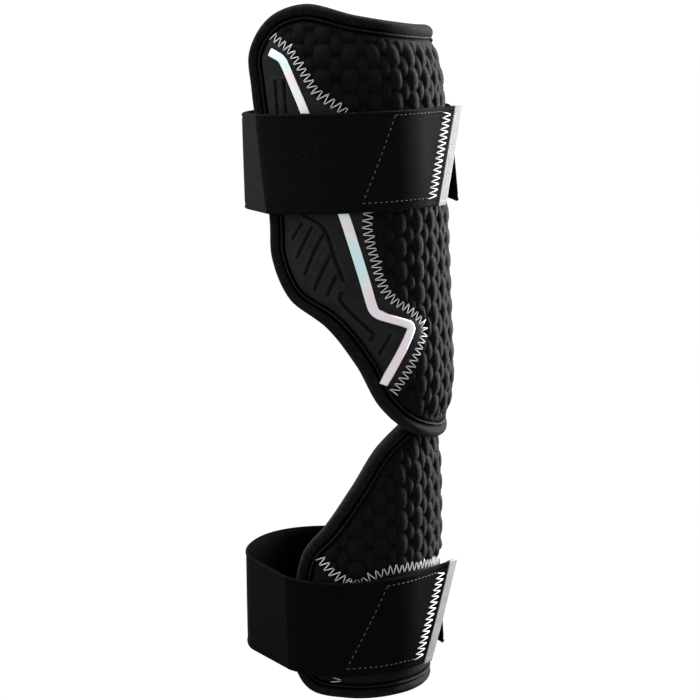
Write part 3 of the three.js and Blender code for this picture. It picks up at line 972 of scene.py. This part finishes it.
def quilting(flat, quilt, start):
    """Height of the quilting at a pattern point.

    Tall cells stand on a grid of columns and pitches, low cells in the middle of each four of them.
    The start is the centre of one tall cell. A cell is a dome: its height less powers of the distances
    from its centre, measured in its own half sizes. The highest of tall cell, low cell and crease counts,
    with the meetings rounded off by the logarithm of a sum of exponentials.
    """
    cells = (flat - start) / (quilt.column, quilt.pitch)
    to_tall = np.abs(cells - np.round(cells))
    to_low = 0.5 - to_tall
    tall = ((to_tall / TALL_HALF) ** TALL_POWER).sum(-1)
    low = ((to_low / LOW_HALF) ** LOW_POWER).sum(-1)
    heights = np.stack([
        quilt.proud - (quilt.proud + quilt.border) * tall,
        quilt.low - (quilt.low + quilt.border) * low,
        np.full_like(low, -quilt.crease),
    ])
    return MEETING * np.logaddexp.reduce(heights / MEETING, axis=0)


def wing_lines():
    """The pressed lines of the left wing."""
    ends = points_of(WING_SLASHES), points_of(WING_SLASHES, ("to_round", "to_up"))
    bends = (smooth_line(points_of(rows), samples=LINE_SAMPLES) for rows in (WING_RIM, WING_HOOK))
    return [*bends, *np.stack(ends, 1)]


def pressed(flat, quilt):
    """Height of the pressed lines: a groove with a low lip on each side, all bell curves."""
    away = distance_to(flat, *wing_lines())
    groove = bell(away, quilt.groove_width)
    lip = bell(away - LIP_PLACE * quilt.groove_width, quilt.groove_width)
    return quilt.groove * (LIP_SHARE * lip - groove)


def seam_valley(flat, *seams):
    """Height of the sewn valley beside seams, a bell curve of the distance to them."""
    return -VALLEY * bell(distance_to(flat, *(seam[::SEAM_STEP] for seam in seams)), SEAM_VALLEY_WIDTH)


def cover(name, pad, flat, relief):
    """A cover sheet whose front follows the padding and its relief and dips at the hem in a bell curve."""
    dip = VALLEY * bell(pad.depth(flat) - HEM - GAP, HEM_VALLEY_WIDTH)
    relief = np.maximum(relief - dip, -DEEPEST)
    front = pad.place(flat, pad.thickness(flat) + relief)
    coarse = flat[::COVER_STEP, ::COVER_STEP]
    back = pad.place(coarse, pad.thickness(coarse) - COVER)
    return build_sheet(name, front, back, COVER_STEP, np.dstack([flat, relief]))


def rim_fade(flat, width):
    """Nought at a grid's own rim, one beyond a width from it."""
    rim = flat.reshape(-1, 2)[rim_of(numbers(*flat.shape[:2]))][::RIM_STEP]
    return ramp(distance_to(flat, joined(rim)), 0, width)


def upper_seam():
    return UPPER.inside(smooth_line(points_of(UPPER_SEAM)), HEM + GAP)


def lower_seam():
    half = smooth_line(points_of(LOWER_SEAM))
    whole = np.vstack([half, to_right(half)[-2::-1]])
    return LOWER.inside(whole, HEM + GAP)


def upper_grids():
    """Pattern grids of the upper pad's quilted cover and of its left wing, parted by the left seam.

    The wing's rows run straight across from the hem to the seam.
    """
    hem = UPPER.inset(HEM + GAP)
    seam = upper_seam()
    top, bottom = (UPPER.nearest(hem, end) for end in (seam[0], seam[-1]))
    left = np.vstack([hem[top], seam[1:-1], hem[bottom]])
    right = np.vstack([hem[-top], to_right(seam[1:-1]), hem[-bottom]])
    columns, rows = UPPER_QUILT_STEPS
    quilt = fill(
        across_top(hem, top, columns),
        across_bottom(hem, bottom, columns),
        resample(left, rows + 1),
        resample(right, rows + 1),
    )
    columns, rows = WING_STEPS
    across = np.linspace(0, 1, columns + 1)[None, :, None]
    wing = mix(down_left(hem, top, bottom, rows)[:, None], resample(left, rows + 1)[:, None], across)
    return quilt, wing


def lower_grids():
    """Pattern grids of the forearm pad's quilted cover and of its cuff, parted by the seam."""
    hem = LOWER.inset(HEM + GAP)
    seam = lower_seam()
    side = LOWER.nearest(hem, seam[0])
    top, bottom = (LOWER.nearest(hem, corner) for corner in LOWER.corners)
    line = resample(np.vstack([hem[side], seam[1:-1], hem[-side]]), LOWER_COLUMNS + 1)
    quilt = fill(
        across_top(hem, top, LOWER_COLUMNS),
        line,
        down_left(hem, top, side, LOWER_QUILT_ROWS),
        down_right(hem, top, side, LOWER_QUILT_ROWS),
    )
    cuff = fill(
        line,
        across_bottom(hem, bottom, LOWER_COLUMNS),
        down_left(hem, side, bottom, CUFF_ROWS),
        down_right(hem, side, bottom, CUFF_ROWS),
    )
    return quilt, cuff


class ELBOWGUARD_OT_quilted_panels(bpy.types.Operator):
    """Quilted covers of both pads"""

    bl_idname = "elbow_guard.quilted_panels"
    bl_label = "Quilted panels"

    def execute(self, context):
        settings = context.scene.elbow_guard
        material = quilt_finish(tuple(settings.colours.quilt))
        left = upper_seam()
        upper, _ = upper_grids()
        lower, _ = lower_grids()
        upper_start, lower_start = points_of(QUILT_START)
        for name, pad, flat, start, seams in (
            ("upper_quilted", UPPER, upper, upper_start, (left, to_right(left))),
            ("lower_quilted", LOWER, lower, lower_start, (lower_seam(),)),
        ):
            cells = quilting(flat, settings.quilt, start) * rim_fade(flat, QUILT_FADE)
            piece = cover(name + "_cloth", pad, flat, cells + seam_valley(flat, *seams))
            hand_in(piece, material, "quilted_cloth", name + "_panel")
        return {"FINISHED"}


class ELBOWGUARD_OT_side_panels(bpy.types.Operator):
    """Plain covers: the pressed wings of the upper pad and the forearm pad's cuff"""

    bl_idname = "elbow_guard.side_panels"
    bl_label = "Side panels"

    def execute(self, context):
        settings = context.scene.elbow_guard
        wing_cloth = side_finish("side_cloth", tuple(settings.colours.side))
        cuff_cloth = side_finish("cuff_cloth", tuple(settings.colours.cuff))
        _, left = upper_grids()
        _, cuff = lower_grids()
        lines = pressed(left, settings.quilt) * rim_fade(left, WING_FADE) + seam_valley(left, upper_seam())
        valley = seam_valley(cuff, lower_seam())
        for name, pad, flat, relief, material in (
            ("upper_side_panel_left", UPPER, left, lines, wing_cloth),
            ("upper_side_panel_right", UPPER, to_right(left)[:, ::-1], lines[:, ::-1], wing_cloth),
            ("lower_cuff_panel", LOWER, cuff, valley, cuff_cloth),
        ):
            piece = cover(name.replace("panel", "cloth"), pad, flat, relief)
            hand_in(piece, material, "side_cloth", name)
        return {"FINISHED"}


def accent_line():
    """Middle line of the accent stripe: straight runs whose corners are rounded by parabolas."""
    corner = points_of(ACCENT)
    ease = ACCENT["ease"][1:-1, None]
    back, ahead = corner[:-2] - corner[1:-1], corner[2:] - corner[1:-1]
    start = corner[1:-1] + ease * back / np.linalg.norm(back, axis=1, keepdims=True)
    end = corner[1:-1] + ease * ahead / np.linalg.norm(ahead, axis=1, keepdims=True)
    t = np.linspace(0, 1, BEND_SAMPLES)[None, :, None]
    bends = mix(mix(start[:, None], corner[1:-1, None], t), mix(corner[1:-1, None], end[:, None], t), t)
    return np.vstack([corner[:1], bends.reshape(-1, 2), corner[-1:]])


class ELBOWGUARD_OT_accents(bpy.types.Operator):
    """Silvery stripes on both wings, whose crown falls by a sixth power towards their edges"""

    bl_idname = "elbow_guard.accents"
    bl_label = "Accent stripes"

    def execute(self, context):
        colours = context.scene.elbow_guard.colours
        tints = (colours.accent, colours.accent_warm, colours.accent_cool)
        material = accent_finish(*map(tuple, tints))
        stations, columns = ACCENT_STEPS
        middle = resample(accent_line(), stations + 1)
        across = np.linspace(-0.5, 0.5, columns + 1)
        left = middle[:, None] - sideways(middle)[:, None] * (across * ACCENT_WIDTH)[None, :, None]
        crown = ACCENT_THICK * (1 - ACCENT_FALL * (2 * across) ** 6)
        for name, flat in (("upper_accent_left", left), ("upper_accent_right", to_right(left)[:, ::-1])):
            low = UPPER.thickness(flat) + GAP
            front = UPPER.place(flat, low + crown[None])
            back = UPPER.place(flat, low)[::COVER_STEP, ::COVER_STEP]
            piece = build_sheet(name.replace("accent", "stripe"), front, back, COVER_STEP, flat)
            hand_in(piece, material, "accent_film", name)
        return {"FINISHED"}


def binding_profile(pad, bead_steps=8, flange_steps=6, roll_steps=12):
    """Section of the folded tape, as distances in from the cut edge and out from the arm side.

    From the seam outwards: a half sine for the bead, a flat crease, a quarter sine for the swelling flange,
    a half turn over the cut edge, and a square channel that takes the pad. The third value is the tape's
    tone, which paints shade and highlight: nought in the crease as painted shade, full on the bead as a
    painted highlight, and paler on the rubbed cut edge as wear and painted highlight.
    """
    thick = pad.edge_thick
    crease = thick - CREASE_DROP
    t = np.linspace(0, 1, bead_steps + 1)
    arch = np.sin(np.pi * t)
    # The bead's tone is a painted highlight, and the crease beside it stays at nought as painted shade
    bead = np.stack([HEM - BEAD * t, crease + BEAD_HEIGHT * arch, FULL_TONE * arch], -1)
    t = np.linspace(0, 1, flange_steps + 1)
    swell = crease + SWELL * np.sin(np.pi / 2 * t)
    flange = np.stack([mix(HEM - BEAD - CREASE, ROLL, t), swell, PLAIN_TONE * ramp(t, 0, 0.2)], -1)
    turn = np.radians(np.linspace(90, -90, roll_steps + 1))[1:]
    # Rubbed wear and painted highlight: the tone rises towards the outermost turn of the cut edge
    rubbed_and_highlit = mix(PLAIN_TONE, RUBBED_AND_HIGHLIT_TONE, ramp(np.cos(turn), 0.3, 1))
    roll = np.stack([ROLL * (1 - np.cos(turn)), swell[-1] / 2 * (1 + np.sin(turn)), rubbed_and_highlit], -1)
    channel = np.array([(HEM, 0), (HEM, TAPE), (TAPE, TAPE), (TAPE, thick - TAPE), (HEM, thick - TAPE)])
    channel = np.column_stack([channel, np.full(len(channel), PLAIN_TONE)])
    return np.vstack([bead, flange, roll, channel])


class ELBOWGUARD_OT_bindings(bpy.types.Operator):
    """Edge tape of both pads"""

    bl_idname = "elbow_guard.bindings"
    bl_label = "Edge bindings"

    def execute(self, context):
        material = binding_finish(tuple(context.scene.elbow_guard.colours.binding))
        for name, pad in (("upper_edge_binding", UPPER), ("lower_edge_binding", LOWER)):
            edge = resample(joined(pad.edge), TAPE_STEPS + 1)[:-1]
            profile = binding_profile(pad)
            flat = edge[:, None] - outward(edge)[:, None] * profile[None, :, :1]
            rings = pad.place(flat, profile[None, :, 1])
            lengthways = np.linspace(0, lengths_of(edge)[-1], len(edge))
            around = lengths_of(profile[:, :2])
            pattern = np.stack(np.meshgrid(lengthways, around, indexing="ij"), -1)
            pattern = np.dstack([pattern, np.broadcast_to(profile[:, 2], pattern.shape[:2])])
            piece = build_ring(name.replace("edge_binding", "edge_tape"), rings, pattern)
            hand_in(piece, material, "binding_tape", name)
        return {"FINISHED"}


class ELBOWGUARD_OT_linings(bpy.types.Operator):
    """Padding of both pads, whose arm side is the soft lining"""

    bl_idname = "elbow_guard.linings"
    bl_label = "Pad linings"

    def execute(self, context):
        material = lining_finish(tuple(context.scene.elbow_guard.colours.lining))
        inner = TAPE + 2 * GAP
        for name, pad in (("upper_pad_core", UPPER), ("lower_pad_core", LOWER)):
            ring = pad.inset(inner)
            top, bottom = (pad.nearest(ring, corner) for corner in pad.corners)
            flat = fill(
                across_top(ring, top, LINING_STEPS),
                across_bottom(ring, bottom, LINING_STEPS),
                down_left(ring, top, bottom, LINING_STEPS),
                down_right(ring, top, bottom, LINING_STEPS),
            )[:, ::-1]
            bulge = LINING_BULGE * ramp(pad.depth(flat), HEM, HEM + LINING_SLOPE)
            front = pad.place(flat, inner - bulge)
            coarse = flat[::PLAIN_STEP, ::PLAIN_STEP]
            back = pad.place(coarse, pad.thickness(coarse) - COVER - GAP)
            piece = build_sheet(name.replace("pad_core", "lining"), front, back, PLAIN_STEP, flat)
            hand_in(piece, material, "padding", name)
        return {"FINISHED"}


# Straps


class ELBOWGUARD_OT_straps(bpy.types.Operator):
    """Elastic straps with rounded edges and woven selvages, which are bell curves beside the edges"""

    bl_idname = "elbow_guard.straps"
    bl_label = "Straps"

    def execute(self, context):
        colours = context.scene.elbow_guard.colours
        # The forearm strap's darker colour is painted shade on the same elastic
        for name, strap, colour, gloss in (
            ("upper_strap", UPPER_STRAP, colours.strap, UPPER_GLOSS),
            ("lower_strap", LOWER_STRAP, colours.lower_strap, LOWER_GLOSS),
        ):
            turn, part = (column[:, None] for column in strap.stations())
            share = np.linspace(0, 1, STRAP_COLUMNS + 1)
            tails = np.where(part > 0, mix(*strap.left_tail, share), mix(*strap.right_tail, share))
            turns, tail, shares = np.broadcast_arrays(turn, part * tails, share)
            across = share * strap.size["width"]
            from_edge = np.minimum(across, strap.size["width"] - across)
            selvage = sum(row["height"] * bell(from_edge - row["place"], row["width"]) for row in SELVAGE)
            half = strap.size["thick"] / 2
            front = strap.place(turns, tail, shares, half + half * rounding(from_edge) + selvage + 0 * tail)
            back = strap.place(turns, tail, shares, half - half * rounding(from_edge) + 0 * tail)
            lengthways = lengths_of(front[:, STRAP_COLUMNS // 2])
            pattern = np.stack(np.meshgrid(lengthways, across, indexing="ij"), -1)
            # Tone kept for the tint: darker towards the slanted end, and only a share of it on the inner
            # side as painted shade
            tone = FULL_TONE * ramp(pattern[..., 0], END_TONE_FROM, END_TONE_TO)
            outer, inner = (np.dstack([pattern, part_tone]) for part_tone in (tone, INNER_SHARE * tone))
            coarse = np.s_[::PLAIN_STEP, ::PLAIN_STEP]
            title = name.replace("strap", "elastic")
            piece = build_sheet(title, front, back[coarse], PLAIN_STEP, outer, inner[coarse])
            hand_in(piece, strap_finish(tuple(colour), gloss), "strap_elastic", name)
        return {"FINISHED"}


class ELBOWGUARD_OT_pull_tabs(bpy.types.Operator):
    """Bare pull tabs on the straps' slanted ends"""

    bl_idname = "elbow_guard.pull_tabs"
    bl_label = "Pull tabs"

    def execute(self, context):
        material = tab_finish(tuple(context.scene.elbow_guard.colours.tab))
        rows, columns = TAB_STEPS
        for name, strap in (("upper_pull_tab", UPPER_STRAP), ("lower_pull_tab", LOWER_STRAP)):
            past = np.linspace(strap.size["tab"], GAP, rows + 1)
            share = np.linspace(0, 1, columns + 1)
            flat = np.stack(np.meshgrid(-past, share, indexing="ij"), -1)
            half = strap.size["thick"] / 2
            swell = half * rounding(past[0] - past)[:, None] + 0 * share
            front = strap.near_end(flat, half + swell)
            back = strap.near_end(flat, half - swell)[::PLAIN_STEP, ::PLAIN_STEP]
            pattern = flat * (1, strap.size["width"])
            piece = build_sheet(name.replace("pull_tab", "tab_tape"), front, back, PLAIN_STEP, pattern)
            hand_in(piece, material, "tab_tape", name)
        return {"FINISHED"}


# Stitching


def on_cover(pad):
    """Carrier that lays threads on a pad's cover."""
    return lambda flat, lift: pad.place(flat, pad.thickness(flat) - SEAM_SINK + lift)


def on_strap(strap):
    """Carrier that lays threads on a strap, by distance back from its slanted end and height across it."""
    return lambda flat, lift: strap.near_end(flat / (1, strap.size["width"]), strap.size["thick"] + lift)


def on_bead(pad):
    """Carrier that lays threads on the bead of a pad's edge tape."""
    return lambda flat, lift: pad.place(flat, pad.edge_thick + BEAD_TOP + lift)


def zigzag(line, width, step):
    """Starts and ends of zigzag stitches whose needle holes lie left and right of a line in turn."""
    count = int(lengths_of(line)[-1] / step)
    middle = resample(line, count + 1)
    side = np.where(np.arange(count + 1) % 2 == 0, 0.5, -0.5)[:, None]
    holes = middle + sideways(middle) * side * width
    return holes[:-1], holes[1:]


def dashes(line, thread):
    """Starts and ends of straight stitches along a line."""
    first = np.arange(0, lengths_of(line)[-1] - thread.dash, thread.dash + thread.dash_gap)
    return at_lengths(line, first), at_lengths(line, first + thread.dash)


class ELBOWGUARD_OT_stitching(bpy.types.Operator):
    """White zigzag seams on the pads, the stitching of the straps' ends and that of the edge tape"""

    bl_idname = "elbow_guard.stitching"
    bl_label = "Stitching"

    def execute(self, context):
        settings = context.scene.elbow_guard
        thread = settings.thread
        colour = tuple(settings.colours.thread)
        white = thread_finish("stitch_thread", colour)
        # Painted shade: the box stitches are the white thread darkened to a share of its colour
        painted_shade_thread = thread_finish("end_thread", shaded(colour, END_THREAD_PAINTED_SHADE))
        black = thread_finish("binding_thread", tuple(settings.colours.binding))
        left = upper_seam()
        cuff = smooth_line(points_of(CUFF_SEAM))
        for name, pad, line in (
            ("upper_seam_stitches_left", UPPER, left),
            ("upper_seam_stitches_right", UPPER, to_right(left)),
            ("lower_seam_stitches", LOWER, lower_seam()),
            ("cuff_seam_stitches_left", LOWER, cuff),
            ("cuff_seam_stitches_right", LOWER, to_right(cuff)),
        ):
            holes = zigzag(line, thread.zigzag, thread.zigzag_step)
            piece = build_stitches(name, *holes, on_cover(pad), thread.radius)
            hand_in(piece, white, "stitch_thread")
        line, corners = (points_of(rows, ("back", "across")) for rows in (END_ZIGZAG, END_BOX))
        end_holes = zigzag(line, thread.end_zigzag, thread.end_step)
        sides = [dashes(np.stack(ends), thread) for ends in zip(corners[:-1], corners[1:])]
        box_holes = [np.vstack(part) for part in zip(*sides)]
        for name, strap in (("upper", UPPER_STRAP), ("lower", LOWER_STRAP)):
            piece = build_stitches(name + "_end_zigzag", *end_holes, on_strap(strap), thread.radius)
            hand_in(piece, white, "stitch_thread")
            piece = build_stitches(name + "_end_box", *box_holes, on_strap(strap), thread.fine)
            hand_in(piece, painted_shade_thread, "stitch_thread")
        for name, pad in (("upper", UPPER), ("lower", LOWER)):
            holes = dashes(joined(pad.inset(HEM - BEAD_MIDDLE)), thread)
            piece = build_stitches(name + "_binding_stitches", *holes, on_bead(pad), thread.fine)
            hand_in(piece, black, "binding_tape")
        return {"FINISHED"}


# Stage


def lay_floor(stage):
    """Wide flat floor under the guard."""
    corner = np.array([(-1, -1), (-1, 1), (1, -1), (1, 1)]) * FLOOR_HALF
    level = np.full(4, CAD_BOX[0][2] - stage.floor_gap)
    floor = build("floor", np.column_stack([corner, level]), [np.array([[0, 2, 3, 1]])], corner)
    floor.data.materials.append(floor_finish(tuple(stage.floor_colour)))
    return floor


def light_room(scene, stage):
    """Even white light from all sides."""
    scene.world = bpy.data.worlds.new("even_light")
    scene.world.use_nodes = True
    background = scene.world.node_tree.nodes["Background"]
    background.inputs["Color"].default_value = (1, 1, 1, 1)
    background.inputs["Strength"].default_value = stage.room


def hang_strips(scene, stage, floor):
    """Strip lights turned to the target, which leave the floor out so that it throws no light back."""
    unlit = bpy.data.collections.new("not_lit_by_strips")
    unlit.objects.link(floor)
    unlit.collection_objects[0].light_linking.link_state = "EXCLUDE"
    for name, place in STRIPS.items():
        light = bpy.data.lights.new(name, "AREA")
        light.shape = "RECTANGLE"
        light.size = STRIP_WIDTH
        light.size_y = STRIP_LENGTH
        light.energy = getattr(stage, name)
        strip = bpy.data.objects.new(name, light)
        strip.location = place
        strip.visible_camera = False
        strip.light_linking.receiver_collection = unlit
        strip.rotation_euler = (Vector(stage.target) - strip.location).to_track_quat("-Z", "Y").to_euler()
        scene.collection.objects.link(strip)


def set_camera(scene, stage):
    """Camera at its turn and tilt round the target."""
    camera = bpy.data.objects.new("camera", bpy.data.cameras.new("camera"))
    camera.data.sensor_fit = "HORIZONTAL"
    camera.data.sensor_width = SENSOR_WIDTH
    camera.data.lens = stage.lens
    away = Vector((-np.cos(stage.turn), -np.sin(stage.turn), np.tan(stage.tilt))).normalized()
    camera.location = Vector(stage.target) + stage.distance * away
    camera.rotation_euler = (-away).to_track_quat("-Z", "Y").to_euler()
    scene.collection.objects.link(camera)
    scene.camera = camera


class ELBOWGUARD_OT_stage(bpy.types.Operator):
    """Floor, lights and camera"""

    bl_idname = "elbow_guard.stage"
    bl_label = "Stage"

    def execute(self, context):
        scene = context.scene
        stage = scene.elbow_guard.stage
        floor = lay_floor(stage)
        light_room(scene, stage)
        hang_strips(scene, stage, floor)
        set_camera(scene, stage)
        scene.view_settings.view_transform = "Standard"
        return {"FINISHED"}


class ELBOWGUARD_PT_panel(bpy.types.Panel):
    """Buttons and settings of the elbow guard"""

    bl_idname = "ELBOWGUARD_PT_panel"
    bl_label = "Elbow guard"
    bl_space_type = "VIEW_3D"
    bl_region_type = "UI"
    bl_category = "Elbow guard"

    def draw(self, context):
        settings = context.scene.elbow_guard
        for operator in OPERATORS:
            self.layout.operator(operator.bl_idname)
        for name in ("quilt", "thread", "colours", "stage"):
            box = self.layout.box()
            box.label(text=name.capitalize())
            group = getattr(settings, name)
            for key in group.__annotations__:
                box.prop(group, key)


OPERATORS = (
    ELBOWGUARD_OT_linings,
    ELBOWGUARD_OT_quilted_panels,
    ELBOWGUARD_OT_side_panels,
    ELBOWGUARD_OT_accents,
    ELBOWGUARD_OT_bindings,
    ELBOWGUARD_OT_straps,
    ELBOWGUARD_OT_pull_tabs,
    ELBOWGUARD_OT_stitching,
    ELBOWGUARD_OT_stage,
)
CLASSES = (
    ELBOWGUARD_PG_quilt,
    ELBOWGUARD_PG_thread,
    ELBOWGUARD_PG_colours,
    ELBOWGUARD_PG_stage,
    ELBOWGUARD_PG_settings,
    *OPERATORS,
    ELBOWGUARD_PT_panel,
)


def register():
    for item in CLASSES:
        bpy.utils.register_class(item)
    bpy.types.Scene.elbow_guard = PointerProperty(type=ELBOWGUARD_PG_settings)


def unregister():
    del bpy.types.Scene.elbow_guard
    for item in reversed(CLASSES):
        bpy.utils.unregister_class(item)


def main():
    register()
    bpy.ops.elbow_guard.linings()
    bpy.ops.elbow_guard.quilted_panels()
    bpy.ops.elbow_guard.side_panels()
    bpy.ops.elbow_guard.accents()
    bpy.ops.elbow_guard.bindings()
    bpy.ops.elbow_guard.straps()
    bpy.ops.elbow_guard.pull_tabs()
    bpy.ops.elbow_guard.stitching()
    bpy.ops.elbow_guard.stage()


if __name__ == "__main__":
    main()
